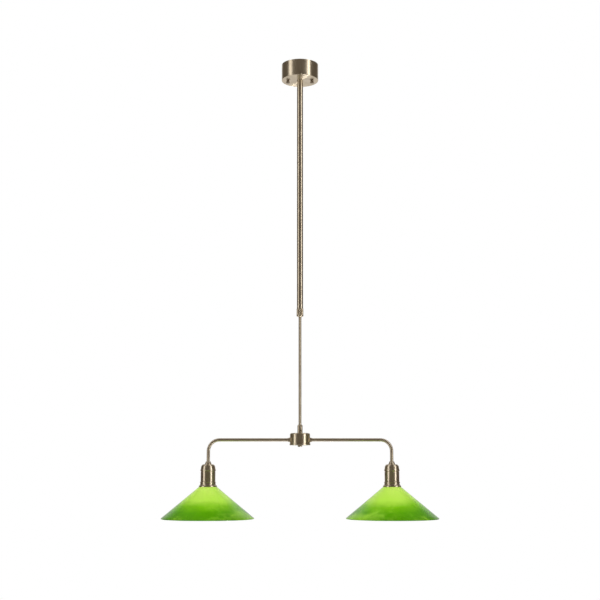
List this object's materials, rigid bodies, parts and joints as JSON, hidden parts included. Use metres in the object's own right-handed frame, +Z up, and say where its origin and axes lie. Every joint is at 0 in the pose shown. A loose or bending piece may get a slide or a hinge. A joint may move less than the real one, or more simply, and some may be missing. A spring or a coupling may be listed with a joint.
{
  "type": "pool table lamp",
  "caption": "Hanging bar lamp for a pool table: ceiling canopy, telescopic tube with lock collar, swivelling bar with down-turned arms and green glass cone shades.",
  "frame": {"origin": "middle of the two ceiling screw slots, on the bracket's top face, which is the ceiling plane", "axes": "+Z up into the ceiling, +X along the bar towards the right shade, +Y away from the viewer"},
  "size_m": [0.7466, 0.25, 1.2756],
  "materials": {
    "antique_brass": "satin",
    "knurled_brass": "satin",
    "dark_brass": "satin",
    "bare_brass": "satin",
    "zinc_steel": "satin",
    "lamp_cap_aluminium": "satin",
    "terminal_plastic": "matte",
    "nylon": "matte",
    "lead_sheath": "matte",
    "core_insulation": "gloss",
    "silicone": "matte",
    "porcelain": "gloss",
    "green_glass": "gloss",
    "opal_glass": "gloss"
  },
  "bodies": {
    "canopy": {"ceiling_bracket": "zinc_steel", "bracket_studs": "zinc_steel", "stud_lock_nuts": "zinc_steel", "canopy_cup": "antique_brass", "canopy_nuts": "knurled_brass", "terminal_block": "terminal_plastic", "terminal_screws": "zinc_steel", "earth_screw": "zinc_steel", "canopy_lead": "lead_sheath", "lead_cores": "core_insulation", "cord_grip": "nylon", "stem_nipple": "bare_brass", "stem_washer": "zinc_steel", "stem_nut": "zinc_steel", "tube_top_bush": "bare_brass", "upper_tube": "antique_brass", "tube_joint_ring": "antique_brass", "tube_joint_sleeve": "bare_brass", "lower_tube": "antique_brass", "slack_lead": "lead_sheath", "collet_bush": "bare_brass"},
    "clamp": {"clamp_ring": "nylon"},
    "lock_collar": {"lock_collar": "knurled_brass"},
    "stem": {"inner_stem": "antique_brass", "stem_stop_ring": "bare_brass", "stem_end_washer": "zinc_steel", "stem_end_nut": "zinc_steel", "stem_lead": "lead_sheath"},
    "bar": {"coupler": "antique_brass", "coupler_grub_screw": "dark_brass", "hub_cup": "antique_brass", "hub_bridge": "zinc_steel", "hub_cover": "antique_brass", "hub_cap_screw": "dark_brass", "hub_terminal": "terminal_plastic", "arm_collars": "antique_brass", "arm_inner_nuts": "zinc_steel", "arm_left": "antique_brass", "arm_right": "antique_brass", "arm_lead_left": "lead_sheath", "arm_lead_right": "lead_sheath", "holder_collars": "antique_brass", "shade_gaskets": "silicone", "centre_contacts": "bare_brass", "thread_sleeves": "bare_brass", "shade_rings": "zinc_steel", "holder_cap_left": "antique_brass", "holder_body_left": "antique_brass", "shade_gallery_left": "antique_brass", "socket_insert_left": "porcelain", "glass_shade_left": "green_glass", "lamp_cap_left": "lamp_cap_aluminium", "bulb_glass_left": "opal_glass", "holder_cap_right": "antique_brass", "holder_body_right": "antique_brass", "shade_gallery_right": "antique_brass", "socket_insert_right": "porcelain", "glass_shade_right": "green_glass", "lamp_cap_right": "lamp_cap_aluminium", "bulb_glass_right": "opal_glass"}
  },
  "joints": [
    {"name": "stem_slide", "type": "slide", "parent": "canopy", "child": "stem", "axis": [0, 0, 1], "range_m": [-0.27, 0.29], "deforming": ["slack_lead"]},
    {"name": "bar_swivel", "type": "hinge", "parent": "stem", "child": "bar", "pos_m": [0, 0, -1.035], "axis": [0, 0, 1], "range_deg": [-170, 170]},
    {"name": "clamp_slide", "type": "slide", "parent": "canopy", "child": "clamp", "axis": [0, 0, -1], "range_m": [0, 0.001]},
    {"name": "lock_collar_turn", "type": "hinge", "parent": "clamp", "child": "lock_collar", "pos_m": [0, 0, -0.715], "axis": [0, 0, -1], "range_deg": [0, 360]}
  ],
  "couplings": [
    {"joint": "clamp_slide", "follows": "lock_collar_turn", "m_per_rad": 0.00015915}
  ]
}
